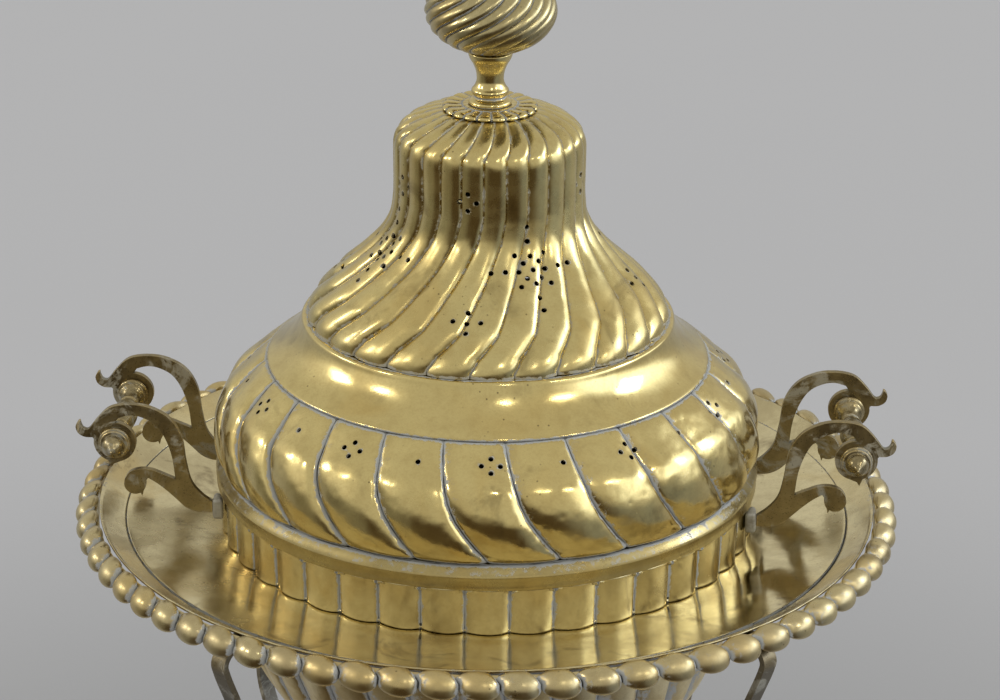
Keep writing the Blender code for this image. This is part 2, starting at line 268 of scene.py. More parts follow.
class Net:
    """Short names for the shader nodes a material is wired from."""

    def __init__(self, name):
        self.material = bpy.data.materials.new(name)
        self.material.use_nodes = True
        self.tree = self.material.node_tree
        self.shader = self.tree.nodes["Principled BSDF"]
        self.place = self.tree.nodes.new("ShaderNodeTexCoord").outputs["Object"]

    def node(self, kind, **inputs):
        made = self.tree.nodes.new(kind)
        for key, value in inputs.items():
            self.feed(made.inputs[int(key[1:]) if key[1:].isdigit() else key.replace("_", " ")], value)
        return made

    def feed(self, socket, value):
        """Link a socket to another node, or give it a constant."""
        if isinstance(value, bpy.types.NodeSocket):
            self.tree.links.new(value, socket)
        else:
            socket.default_value = value

    def stretched(self, scale, turn):
        return self.node("ShaderNodeMapping", Vector=self.place, Scale=scale, Rotation=turn).outputs[0]

    def noise(self, scale, detail=4.0, rough=0.55, where=None, warp=0.0):
        made = self.node("ShaderNodeTexNoise", Vector=where or self.place, Scale=scale, Detail=detail,
                         Roughness=rough, Distortion=warp)
        return made.outputs["Factor"] if "Factor" in made.outputs else made.outputs["Fac"]

    def cells(self, scale, feature="F1"):
        made = self.node("ShaderNodeTexVoronoi", Vector=self.place, Scale=scale)
        made.feature = feature
        return made.outputs["Distance"]

    def spread(self, value, low, high, to_low=0.0, to_high=1.0):
        made = self.node("ShaderNodeMapRange", Value=value)
        made.interpolation_type = "SMOOTHSTEP"
        for socket, number in zip(made.inputs[1:5], (low, high, to_low, to_high)):
            socket.default_value = number
        return made.outputs["Result"]

    def sum(self, kind, a, b):
        made = self.node("ShaderNodeMath", _0=a, _1=b)
        made.operation = kind
        return made.outputs[0]

    def blend(self, factor, a, b):
        made = self.tree.nodes.new("ShaderNodeMix")
        made.data_type = "RGBA"
        for socket, value in ((made.inputs[0], factor), (made.inputs[6], a), (made.inputs[7], b)):
            self.feed(socket, (*value, 1.0) if isinstance(value, tuple) else value)
        return made.outputs[2]

    def groove(self):
        made = self.tree.nodes.new("ShaderNodeAttribute")
        made.attribute_name = "groove"
        return made.outputs["Fac"]

    def bump(self, height, distance, strength=1.0, onto=None):
        made = self.node("ShaderNodeBump", Height=height, Distance=distance, Strength=strength)
        if onto:
            self.tree.links.new(onto, made.inputs["Normal"])
        return made.outputs["Normal"]

    def wire(self, **sockets):
        for key, value in sockets.items():
            self.feed(self.shader.inputs[key.replace("_", " ")], value)
        return self.material


def brass(name, bright, dull, rough, tarnish, dents=0.0, dent_size=70.0, ripple=0.0,
          residue=(0.43, 0.44, 0.45), smudge=0.35, grime=0.8, haze=0.0):
    """Aged polished brass: patchy tarnish, dark specks, rubbed scratches, pale polish left in the seams."""
    net = Net(name)
    patches = net.spread(net.noise(11, 5, 0.6, warp=0.6), 0.42, 0.68)
    mottle = net.noise(75, 6, 0.65)
    colour = net.blend(net.sum("MULTIPLY", patches, smudge), bright, dull)
    colour = net.blend(net.spread(mottle, 0.42, 0.72, 0.0, 0.42), colour, dull)
    colour = net.blend(net.spread(net.noise(9, 3, 0.6, warp=0.9), 0.46, 0.70, 0.0, 0.42), colour, WARM)
    colour = net.blend(net.spread(net.noise(520, 4, 0.75), 0.44, 0.66, 0.0, 0.30), colour, dull)
    specks = net.sum("MULTIPLY", net.spread(net.cells(160), 0.05, 0.16, 1.0, 0.0),
                     net.spread(net.noise(24, 2), 0.52, 0.66))
    colour = net.blend(net.sum("MULTIPLY", specks, 0.75), colour, tarnish)
    low_dirt = net.spread(net.noise(16, 4, 0.6, warp=1.2), 0.56, 0.72, 0.0, grime * 0.45)
    colour = net.blend(low_dirt, colour, tarnish)
    seam_mark = net.groove()
    broken = net.sum("ADD", seam_mark, net.spread(net.noise(150, 5, 0.75), 0.3, 0.7, -0.30, 0.30))
    pale = net.spread(broken, 0.36, 0.78)
    deep = net.sum("MULTIPLY", net.spread(seam_mark, 0.90, 1.0),
                   net.spread(net.noise(55, 3), 0.40, 0.62, 0.15, 0.9))
    halo = net.spread(seam_mark, 0.04, 0.5, 0.0, 0.42)
    colour = net.blend(halo, colour, dull)
    colour = net.blend(pale, colour, residue)
    colour = net.blend(net.sum("MAXIMUM", deep, net.spread(seam_mark, 1.02, 1.3)), colour, CREVICE)
    scratches = net.noise(1.0, 3, 0.6, net.stretched((900, 900, 60), (0.3, 0.5, 0.2)))
    fine = net.noise(420, 3, 0.6)
    rough_now = net.spread(net.noise(30, 5, 0.65), 0.3, 0.7, rough * 0.65, rough * 1.5)
    rough_now = net.sum("ADD", rough_now, net.spread(patches, 0.0, 1.0, 0.0, 0.05))
    rough_now = net.sum("ADD", rough_now, net.spread(net.noise(7, 4, 0.6, warp=0.5), 0.44, 0.60, 0.0, haze))
    rough_now = net.sum("MAXIMUM", rough_now, net.spread(pale, 0.0, 1.0, 0.0, 0.72))
    normal = net.bump(net.sum("ADD", scratches, fine), 0.00003, 0.55)
    if dents:
        hammer = net.sum("ADD", net.cells(dent_size, feature="SMOOTH_F1"), net.noise(dent_size * 0.55, 2))
        normal = net.bump(hammer, dents, 1.0, normal)
    if ripple:
        normal = net.bump(net.noise(26, 2, 0.4), ripple, 1.0, normal)
    metal = net.spread(pale, 0.0, 1.0, 1.0, 0.15)
    return net.wire(Base_Color=colour, Roughness=rough_now, Metallic=metal, Normal=normal)


def patina(name, base, worn, rough=0.42):
    """Cast brass gone brown, brighter on its edges from rubbing and a painted highlight, with grey dust in
    patches.
    """
    net = Net(name)
    edge_sheen_and_wear = net.spread(net.tree.nodes.new("ShaderNodeNewGeometry").outputs["Pointiness"], 0.505, 0.56)
    cloud = net.noise(55, 6, 0.65)
    colour = net.blend(net.spread(cloud, 0.35, 0.68, 0.0, 0.85), base, worn)
    dust = net.spread(net.noise(34, 6, 0.7, warp=1.4), 0.49, 0.63, 0.0, 0.75)
    colour = net.blend(dust, colour, DUST)
    # Painted highlight with rubbed wear: the sharp edges are lightened where lit edges would shine.
    colour = net.blend(net.sum("MULTIPLY", edge_sheen_and_wear, 0.5), colour, (0.62, 0.47, 0.22))
    pits = net.spread(net.cells(420), 0.08, 0.3, 1.0, 0.0)
    colour = net.blend(net.sum("MULTIPLY", pits, 0.5), colour, (0.04, 0.03, 0.02))
    normal = net.bump(net.noise(380, 5, 0.7), 0.00012, 0.7)
    normal = net.bump(net.noise(60, 3), 0.0006, 0.6, normal)
    rough_now = net.spread(cloud, 0.3, 0.7, rough * 0.75, rough * 1.35)
    rough_now = net.sum("MAXIMUM", rough_now, net.spread(dust, 0.0, 0.75, 0.0, 0.7))
    metal = net.spread(dust, 0.0, 0.75, 0.88, 0.2)
    return net.wire(Base_Color=colour, Roughness=rough_now, Metallic=metal, Normal=normal)


def rough_metal(name, base, spot, metallic, rough, grain=300):
    """Iron, steel or chalky residue: mottled, slightly pitted."""
    net = Net(name)
    cloud = net.noise(70, 6, 0.7)
    colour = net.blend(net.spread(cloud, 0.35, 0.68), base, spot)
    normal = net.bump(net.noise(grain, 5, 0.7), 0.00015, 0.8)
    rough_now = net.spread(cloud, 0.3, 0.7, rough * 0.8, min(1.0, rough * 1.25))
    return net.wire(Base_Color=colour, Roughness=rough_now, Metallic=metallic, Normal=normal)


COVER = brass("cover_brass", BRIGHT, DULL, 0.18, TARNISH, dents=0.0006, dent_size=85)
BELL_METAL = brass("bell_brass", (0.70, 0.59, 0.285), DULL, 0.24, TARNISH, dents=0.0005, dent_size=70,
                   residue=(0.44, 0.42, 0.36))
SMOOTH = brass("smooth_brass", BRIGHT, DULL, 0.14, TARNISH, ripple=0.0006, smudge=0.25, grime=0.4)
BAND_METAL = brass("band_brass", (0.52, 0.43, 0.21), (0.33, 0.26, 0.12), 0.26, TARNISH, ripple=0.0006,
                   smudge=0.7)
DRUM_METAL = brass("drum_brass", (0.70, 0.61, 0.36), (0.52, 0.42, 0.21), 0.17, TARNISH,
                   smudge=0.6, grime=0.6)
BEAD_METAL = brass("bead_brass", (0.62, 0.53, 0.31), (0.44, 0.35, 0.20), 0.32, TARNISH,
                   smudge=0.7, grime=0.9)
BULB_METAL = brass("bulb_brass", (0.56, 0.485, 0.28), (0.34, 0.27, 0.13), 0.24, (0.08, 0.055, 0.03),
                   smudge=0.8)
# Painted light: the tray's base colours are brighter to make up for the window light it is kept from.
TRAY_METAL = brass("tray_brass", (0.80, 0.71, 0.46), (0.50, 0.42, 0.25), 0.085, (0.16, 0.11, 0.05),
                   ripple=0.0004, smudge=0.8, grime=1.7, haze=0.17)
BOWL_METAL = brass("bowl_brass", (0.82, 0.71, 0.45), (0.55, 0.43, 0.22), 0.42, (0.06, 0.04, 0.02),
                   dents=0.0005, smudge=0.8)
GRIP_METAL = patina("grip_patina", (0.24, 0.195, 0.11), (0.46, 0.38, 0.22), 0.26)
DARK = patina("dark_patina", (0.115, 0.095, 0.055), (0.30, 0.245, 0.13), 0.34)
# Painted shade: the legs' near-black colour stands in for the shade under the tray.
LEG_METAL = patina("leg_patina_and_painted_shade", (0.060, 0.062, 0.066), (0.15, 0.155, 0.16), 0.42)
CHALK = rough_metal("boss_residue", (0.50, 0.49, 0.46), (0.28, 0.26, 0.22), 0.5, 0.55)
SOOT = rough_metal("sooted_iron", (0.035, 0.030, 0.028), (0.10, 0.095, 0.09), 0.4, 0.8)
STEEL = rough_metal("plain_steel", (0.32, 0.30, 0.28), (0.20, 0.13, 0.08), 0.9, 0.42)

UNLIT = bpy.data.collections.new("not lit by the windows")  # the floor and the tray


# ---- cover -------------------------------------------------------------------------------------------

def make_bell():
    """The fluted cone: straight on the neck, swept round the swell."""
    line = resample(smooth_line([
        (0.0075, 0.3312), (0.0370, 0.3300), (0.0490, 0.3268), (0.0580, 0.3232), (0.0645, 0.3194),
        (0.0692, 0.3150), (0.0720, 0.3105), (0.0735, 0.3045), (0.0737, 0.2980), (0.0735, 0.2700),
        (0.0740, 0.2600), (0.0756, 0.2485), (0.0790, 0.2395), (0.0870, 0.2270), (0.1010, 0.2120),
        (0.1120, 0.2020), (0.1220, 0.1930), (0.1302, 0.1840), (0.1352, 0.1780), (0.1384, 0.1730),
        (0.1398, 0.1692), (0.1403, 0.1664), (0.1404, 0.1643),
    ]), 0.0016)
    z = line[:, 1]
    twist = np.interp(z, [0.168, 0.179, 0.193, 0.212, 0.227, 0.2485, 0.266, 0.312, 0.331],
                      np.radians([-30, -27.5, -21, -15.5, -10.3, -3.0, 0, 0, 9]))
    angles, across = lobe_angles(BELL_FLUTES, 14, 24.5)
    deep = np.interp(z, [0.165, 0.169, 0.176, 0.20, 0.24, 0.27, 0.300, 0.312, 0.322, 0.3285, 0.3305],
                     [0.0038, 0.0044, 0.0048, 0.0040, 0.0032, 0.0030, 0.0032, 0.0032, 0.0026, 0.0018, 0.0])
    push = lobed(deep, across, 2.0, 1.7, 0.22)
    strength = np.interp(z, [0.166, 0.172, 0.185, 0.31, 0.33], [1, 0.8, 0.62, 0.60, 0.72])
    dirt = seam(across, BELL_FLUTES, line, 0.0016, 0.25) * strength[:, None]
    foot = 0.9 * peak(z, 0.1650, 0.0016)[:, None]
    bell = lathe("bell_fluted", line, angles, push, np.maximum(dirt, foot), twist, wall=0.0018)
    pierce(bell, bell_holes())
    finish_piece(bell, "cover", BELL_METAL, "polished_brass", "bell")


def wall_at(line, z):
    """Radius and outward slope of the bell's wall at a height."""
    heights, radii = line[::-1, 1], line[::-1, 0]
    r = np.interp(z, heights, radii)
    fall = (np.interp(z + 0.002, heights, radii) - np.interp(z - 0.002, heights, radii)) / 0.004
    return float(r), float(np.arctan(-fall))


def bell_holes():
    """Eight-armed stars and small crosses on the swell, and diamonds on the neck."""
    line = resample(smooth_line([
        (0.0735, 0.3080), (0.0735, 0.2700), (0.0756, 0.2485), (0.0790, 0.2395), (0.0870, 0.2270),
        (0.1010, 0.2120), (0.1220, 0.1930), (0.1360, 0.1780),
    ]), 0.001)
    along = np.concatenate([[0], np.cumsum(np.hypot(*np.diff(line, axis=0).T))])

    def spot(turn, z, right, up):
        start = np.interp(-z, -line[:, 1], along)
        here = np.interp(start - up, along, line[:, 1])
        r, slope = wall_at(line, here)
        return turn + np.degrees(right / r), r, here, slope

    spots = []
    for quarter in range(4):
        star = 23 + 90 * quarter
        spots.append(spot(star, 0.229, 0, 0))
        for arm in range(8):
            reach = 3 if arm % 2 == 0 else 2
            pitch = 0.0108 if arm % 2 == 0 else 0.0086
            for k in range(1, reach + 1):
                a = pi / 4 * arm
                spots.append(spot(star, 0.229, k * pitch * sin(a), k * pitch * cos(a)))
        for right, up in ((0, 0), (0, 0.0085), (0, -0.0085), (0.0105, 0), (-0.0105, 0)):
            spots.append(spot(-8 + 90 * quarter, 0.200, right, up))
    for turn in (-63, -12.6, 71, 125, 180, 235):
        for right, up in ((0, 0.0066), (0, -0.0066), (0.0066, 0), (-0.0066, 0)):
            spots.append(spot(turn, 0.279, right, up))
    return spots


def make_gadroon_ring():
    line = resample(smooth_line([
        (0.1640, 0.1283), (0.1724, 0.1286), (0.1800, 0.1245), (0.1900, 0.1162), (0.1955, 0.1115),
        (0.2007, 0.1070), (0.2055, 0.1010), (0.2105, 0.0905), (0.2132, 0.0820), (0.2143, 0.0735),
        (0.2146, 0.0650), (0.2135, 0.0560), (0.2105, 0.0490), (0.2060, 0.0462),
    ]), 0.0016)
    z = line[:, 1]
    twist = np.interp(z, [0.046, 0.058, 0.08, 0.095, 0.12, 0.129], np.radians([11.0, 8.4, 4.4, 2.5, 0.5, 0]))
    angles, across = lobe_angles(GADROONS, 22, -10.6)
    deep = np.interp(z, [0.0462, 0.0480, 0.0510, 0.060, 0.085, 0.110, 0.1225, 0.1275, 0.129],
                     [0.0008, 0.0022, 0.0052, 0.0072, 0.0066, 0.0042, 0.0022, 0.0010, 0.0])
    chased = -0.0007 * peak((1 - np.abs(across))[None, :] * line[:, :1] * pi / GADROONS, 0.0, 0.0016)
    push = lobed(deep, across, 2.1, 1.9, 0.25) + chased
    mark = seam(across, GADROONS, line, 0.0024, 0.46)
    ends = np.maximum(peak(line[:, :1], 0.1724, 0.0022), peak(line[:, 1:], 0.0462, 0.0026))
    ring = lathe("gadroon_ring_raised", line, angles, push, np.maximum(mark, ends), twist, wall=0.002)
    pierce(ring, ring_holes())
    finish_piece(ring, "cover", COVER, "polished_brass", "gadroon_ring")


def ring_holes():
    """Crosses of four holes and single holes by turns, in a row near the top seam."""
    row_r, row_z = 0.1885, 0.1168
    spots = []
    for k in range(22):
        turn, slope = 0.9 + 360 / 22 * k, 0.87
        if k % 2:
            spots.append((turn, row_r, row_z, slope))
            continue
        for right, up in ((0, 0.0058), (0, -0.0058), (0.0070, 0), (-0.0070, 0)):
            spots.append((turn + np.degrees(right / 0.19), row_r - up * sin(slope),
                          row_z + up * cos(slope), slope))
    return spots


def make_plain_rings():
    """The hollow-curved ring under the bell and the plain band the cover stands on."""
    angles = even_angles(RING_COLUMNS)
    line = resample(smooth_line([
        (0.1330, 0.1637), (0.1400, 0.1639), (0.1418, 0.1640), (0.1434, 0.1639), (0.1445, 0.1631),
        (0.1452, 0.1614), (0.1462, 0.1585), (0.1481, 0.1544), (0.1510, 0.1496), (0.1549, 0.1446),
        (0.1599, 0.1397), (0.1653, 0.1354), (0.1700, 0.1322), (0.1718, 0.1308), (0.1724, 0.1298),
        (0.1722, 0.1291),
    ]), 0.0011)
    wave = 0.00025 * np.sin(5 * angles + 1.0) + 0.0002 * np.sin(11 * angles)
    dirt = np.maximum(0.8 * peak(line[:, 0], 0.1404, 0.0020), peak(line[:, 1], 0.1291, 0.0016))
    dirt = np.maximum(dirt, 0.36 * peak(line[:, 0], 0.1420, 0.0016))
    ring = lathe("cavetto_ring_spun", line, angles, wave[None, :], dirt[:, None], wall=0.002)
    finish_piece(ring, "cover", SMOOTH, "polished_brass", "cavetto_ring")

    line = resample(smooth_line([
        (0.2035, 0.0440), (0.2035, 0.0455), (0.2062, 0.0454), (0.2088, 0.0432), (0.2116, 0.0402),
        (0.2130, 0.0388), (0.2138, 0.0383), (0.2139, 0.0374), (0.2133, 0.0362), (0.2132, 0.0350),
        (0.2130, 0.0320), (0.2133, 0.0292), (0.2130, 0.0279), (0.2110, 0.0276), (0.2060, 0.0276),
        (0.2052, 0.0270), (0.2052, 0.0205), (0.2035, 0.0200),
    ]), 0.0009)
    dirt = peak(line[:, 0], 0.2066, 0.0020) * (line[:, 1] > 0.040)
    dirt = np.maximum(dirt, 0.36 * (line[:, 1] > 0.0392) * (line[:, 0] > 0.2070))
    wave = 0.0003 * np.sin(7 * angles) + 0.00025 * np.sin(3 * angles + 2)
    band = lathe("base_band_spun", line, angles, wave[None, :], dirt[:, None], wall=0.0)
    close_ring(band, len(line), RING_COLUMNS)
    finish_piece(band, "cover", BAND_METAL, "polished_brass", "cover_base_band")


def close_ring(obj, rows, cols):
    """Join the last row of a swept ring to its first, so that it is a solid."""
    work = bmesh.new()
    work.from_mesh(obj.data)
    work.verts.ensure_lookup_table()
    last = (rows - 1) * cols
    for j in range(cols):
        k = (j + 1) % cols
        work.faces.new([work.verts[v] for v in (last + j, j, k, last + k)])
    work.to_mesh(obj.data)
    work.free()
    obj.data.shade_smooth()
    obj.data.set_sharp_from_angle(angle=radians(45))


def make_rosette():
    line = resample(smooth_line([
        (0.0070, 0.3330), (0.0150, 0.3338), (0.0190, 0.3346), (0.0225, 0.3340), (0.0280, 0.3344),
        (0.0330, 0.3346), (0.0358, 0.3332), (0.0367, 0.3312), (0.0355, 0.3303),
    ]), 0.0006)
    r = line[:, 0]
    angles, across = lobe_angles(PETALS, 10, 2)
    deep = np.interp(r, [0.015, 0.021, 0.024, 0.031, 0.036], [0, 0.0004, 0.0014, 0.0020, 0.0022])
    push = lobed(deep, across, 2, 2)
    dirt = np.maximum(seam(across, PETALS, line, 0.0009) * (r > 0.021)[:, None],
                      peak(line[:, :1], 0.0215, 0.0010))
    rosette = lathe("rosette_petalled", line, angles, push, dirt, wall=0.0012)
    finish_piece(rosette, "cover", SMOOTH, "polished_brass", "rosette")


def make_finial():
    stem = turned("finial_stem_turned", [
        (0.0050, 0.3758), (0.0100, 0.3758), (0.0100, 0.3758), (0.0160, 0.3752), (0.0168, 0.3735),
        (0.0158, 0.3700), (0.0132, 0.3655), (0.0112, 0.3605), (0.0104, 0.3555), (0.0106, 0.3520),
        (0.0122, 0.3482), (0.0141, 0.3456), (0.0143, 0.3436), (0.0134, 0.3420), (0.0121, 0.3408),
        (0.0124, 0.3392), (0.0150, 0.3378), (0.0163, 0.3362), (0.0162, 0.3345), (0.0155, 0.3341),
        (0.0155, 0.3341), (0.0050, 0.3341),
    ], step=0.0006, grooves=((0.3405, 0.0014), (0.3340, 0.0012)))
    finish_piece(stem, "cover", SMOOTH, "polished_brass", "finial_stem")
    ring = [radians(84 - 164 * i / 24) for i in range(25)]
    side = [(0.0500 * cos(a), 0.4080 + 0.0335 * sin(a)) for a in ring]
    line = resample(smooth_line([(0.0055, 0.4415), *side, (0.0060, 0.3757)], 4), 0.0012)
    turn = np.interp(line[:, 1], [0.375, 0.384, 0.4080, 0.432, 0.441], np.radians([-62, -46, 0, 42, 56]))
    angles, across = lobe_angles(BULB_LOBES, 14)
    deep = np.interp(line[:, 1], [0.3757, 0.381, 0.394, 0.424, 0.436, 0.4415],
                     [0, 0.0016, 0.0032, 0.0032, 0.0012, 0])
    push = lobed(deep, across, 2.0, 1.9, 0.3)
    dirt = seam(across, BULB_LOBES, line, 0.0011)
    bulb = lathe("finial_bulb_gadrooned", line, angles, push, dirt, turn, wall=0.0015)
    finish_piece(bulb, "cover", BULB_METAL, "polished_brass", "finial_bulb")
    tip = turned("finial_tip_turned", [
        (0.0, 0.4743), (0.0012, 0.4733), (0.0035, 0.4703), (0.0080, 0.4643), (0.0108, 0.4578),
        (0.0112, 0.4533), (0.0096, 0.4491), (0.0084, 0.4473), (0.0092, 0.4459), (0.0118, 0.4445),
        (0.0130, 0.4428), (0.0128, 0.4413), (0.0128, 0.4413), (0.0045, 0.4412), (0.0045, 0.4412),
        (0.0045, 0.4543), (0.0, 0.4543),
    ], step=0.0006, cols=64, grooves=((0.4471, 0.0012),))
    finish_piece(tip, "cover", SMOOTH, "polished_brass", "finial_tip")


# ---- pan ---------------------------------------------------------------------------------------------

def make_pan_wall():
    """The fluted drum, with a thin lip inside its foot."""
    line = resample(smooth_line([
        (0.2080, 0.0273), (0.2100, 0.0268), (0.2102, 0.0240), (0.2102, 0.0100), (0.2100, -0.0040),
        (0.2100, -0.0101),
    ]), 0.0012)
    z = line[:, 1]
    angles, across = lobe_angles(DRUM_FLUTES, 14, -4.3)
    deep = np.interp(z, [-0.008, 0.0, 0.024, 0.0273], [0.0048, 0.0046, 0.0040, 0.0030])
    push = lobed(deep, across, 2.0, 1.15, 0.18)
    dirt = seam(across, DRUM_FLUTES, line, 0.0019, 0.30) * 0.97
    wall = lathe("pan_wall_fluted", line, angles, push, dirt, wall=0.0020)
    finish_piece(wall, "pan", DRUM_METAL, "polished_brass", "pan_wall")
    rim = [(0.2058, -0.0090), (0.2010, -0.0092), (0.1965, -0.0090)]
    lip = lathe("pan_wall_lip", rim, angles, wall=0.001)
    finish_piece(lip, "pan", DRUM_METAL, "polished_brass")


def arc(centre, radius, start, end, count):
    """Points round a centre, from one angle in degrees to another."""
    angles = [radians(start + (end - start) * i / (count - 1)) for i in range(count)]
    return [(centre[0] + radius * cos(a), centre[1] + radius * sin(a)) for a in angles]


def bracket_outline():
    """The scrolled plate in millimetres: out from the boss, and up."""
    disc, volute = (75.0, 53.4), (60.4, 18.2)
    outer = smooth_line([(0, 4.4), (8, 10.4), (16, 21), (20, 38), (23, 59), (32, 74.5), (47, 83.2),
                         (63, 85.4), (78, 82.5), (88, 73.2), (95, 64.2), (99.0, 64.2), (101.0, 67.2),
                         (101.6, 70.5)], 6).tolist()
    hook = smooth_line([(103.0, 70.2), (105.2, 66), (103.6, 60.5), (98.6, 57.3), (92.4, 57.0)], 5).tolist()
    notch = [(79.6, 35.4), (78.2, 32.0), (76.2, 35.2)]
    disc_side = arc(disc, 16.5, 8, -70, 16) + notch + arc(disc, 16.5, -106, -268, 30)
    inner = smooth_line([(71.5, 74.0), (63, 76.2), (54, 75.0), (43.5, 69.2), (36, 58), (30.8, 42),
                         (28.6, 23)], 6).tolist()
    branch = smooth_line([(28.6, 23), (39, 27.5), (48, 30.8), (57, 31.0), (64.5, 28),
                          (68.4, 22.0)], 6)[1:].tolist()
    curl = arc(volute, 8.6, 0, -120, 10) + [(55.0, 7.8)] + arc(volute, 8.6, -140, -196, 6)
    lower = smooth_line([(50, 23.6), (43, 19.3), (35, 12.7), (28, 6), (21, -0.6), (12, -4.4),
                         (0, -4.4)], 6).tolist()
    return [(x / 1000, z / 1000) for x, z in outer + hook + disc_side + inner + branch + curl + lower]


def make_handles():
    along = Matrix.Rotation(radians(-90), 4, "X")
    for side, sign in (("left", -1), ("right", 1)):
        outline = [(sign * x, z) for x, z in bracket_outline()]
        for end, y in (("front", -BRACKET_Y), ("back", BRACKET_Y)):
            name = f"{side}_{end}"
            where = (sign * BRACKET_X, y, BRACKET_Z)
            piece = plate(f"bracket_plate_{name}", outline, PLATE_HALF, where, 0.0007)
            finish_piece(piece, "pan", DARK, "dark_patina", f"bracket_{name}")
            make_boss(name, sign, y)
            make_acorn(name, sign, 1 if end == "front" else -1)
        make_grip(side, sign, along)


def make_boss(name, sign, y):
    """A soft-edged block, hollowed to the drum behind it."""
    work = bmesh.new()
    bmesh.ops.create_cube(work, size=1.0, matrix=Matrix.Diagonal((*BOSS_SIZE, 1)))
    for vert in work.verts:
        if vert.co.x * sign < 0:
            vert.co.x = sign * (DRUM_RADIUS * cos(np.arcsin((y + vert.co.y) / DRUM_RADIUS)) - BOSS_X)
    mesh = bpy.data.meshes.new(f"boss_block_{name}")
    work.to_mesh(mesh)
    work.free()
    boss = linked(f"boss_block_{name}", mesh)
    mesh.transform(Matrix.Translation((sign * BOSS_X, y, BRACKET_Z)))
    soft = boss.modifiers.new("Eased", "BEVEL")
    soft.width, soft.segments = 0.0028, 5
    mesh.shade_smooth()
    finish_piece(boss, "pan", CHALK, "grey_residue", f"boss_{name}")


def make_acorn(name, sign, flip):
    acorn = turned(f"acorn_nut_{name}", [
        (0.0, 0.0735), (0.0008, 0.0729), (0.0018, 0.0708), (0.0034, 0.0690), (0.0062, 0.0668),
        (0.0083, 0.0640), (0.0091, 0.0612), (0.0088, 0.0596), (0.0080, 0.0588), (0.0088, 0.0580),
        (0.0106, 0.0576), (0.0112, 0.0568), (0.0106, 0.0562), (0.0114, 0.0558), (0.0125, 0.0550),
        (0.0126, 0.0538), (0.0120, 0.0528), (0.0120, 0.0528), (0.0034, 0.0528), (0.0034, 0.0528),
        (0.0034, 0.0605), (0.0, 0.0605),
    ], base=0.0, step=0.0006, cols=56, grooves=((0.0588, 0.0011), (0.0563, 0.0008), (0.0528, 0.0010)))
    turn = Matrix.Translation((sign * GRIP_X, 0, GRIP_Z)) @ Matrix.Rotation(radians(90 * flip), 4, "X")
    acorn.data.transform(turn)
    finish_piece(acorn, "pan", GRIP_METAL, "grip_brass", f"acorn_{name}")


def make_grip(side, sign, along):
    """A baluster with a collar near each end, bored for its rod."""
    half = [
        (0.0098, 0.0470), (0.0117, 0.0462), (0.0124, 0.0445), (0.0116, 0.0430), (0.0098, 0.0421),
        (0.0092, 0.0413), (0.0100, 0.0404), (0.0107, 0.0392), (0.0100, 0.0378), (0.0078, 0.0360),
        (0.0062, 0.0335), (0.0051, 0.0295), (0.0049, 0.0262), (0.0058, 0.0246), (0.0071, 0.0236),
        (0.0072, 0.0224), (0.0064, 0.0212), (0.0068, 0.0200), (0.0082, 0.0160), (0.0095, 0.0090),
    ]
    loop = [(0.0031, 0.0470), (0.0031, 0.0470), *half, (0.0100, 0.0), *[(r, -z) for r, z in reversed(half)],
            (0.0031, -0.0470), (0.0031, -0.0470)]
    line = resample(smooth_line(loop, 6), 0.0007)
    dirt = sum(peak(np.abs(line[:, 1:]), z, 0.0009) for z in (0.0212, 0.0250, 0.0413, 0.0470))
    grip = lathe(f"grip_turned_{side}", line, even_angles(GRIP_COLUMNS), 0.0, np.clip(dirt, 0, 1),
                 wall=0, base=0.0)
    close_ring(grip, len(line), GRIP_COLUMNS)
    grip.data.transform(Matrix.Translation((sign * GRIP_X, 0, GRIP_Z)) @ along)
    finish_piece(grip, f"grip_{side}", GRIP_METAL, "grip_brass", f"grip_{side}")


# ---- stand -------------------------------------------------------------------------------------------

def make_tray():
    """The tray's floor, which dips to the middle, with a chased line near its rim."""
    line = resample(smooth_line([
        (0.2000, -0.0106), (0.2130, -0.0104), (0.2300, -0.0078), (0.2500, -0.0050), (0.2700, -0.0022),
        (0.2835, -0.0003), (0.2844, -0.0006), (0.2850, -0.0022), (0.2857, -0.0024), (0.2864, -0.0006),
        (0.2900, 0.0016), (0.2950, 0.0046), (0.3010, 0.0083), (0.3035, 0.0099), (0.3050, 0.0106),
        (0.3057, 0.0106),
    ]), 0.0008)
    angles = even_angles(RING_COLUMNS)
    dirt = 1.5 * peak(line[:, :1], 0.2854, 0.0008) + 0.35 * peak(line[:, :1], 0.3050, 0.0040)
    wave = 0.0004 * np.sin(4 * angles + 0.7) * np.clip((line[:, :1] - 0.2130) / 0.05, 0, 1)
    tray = lathe("tray_spun", line, angles, wave, dirt, wall=0.0018)
    finish_piece(tray, "stand", TRAY_METAL, "tray_brass", "tray")
    UNLIT.objects.link(tray)


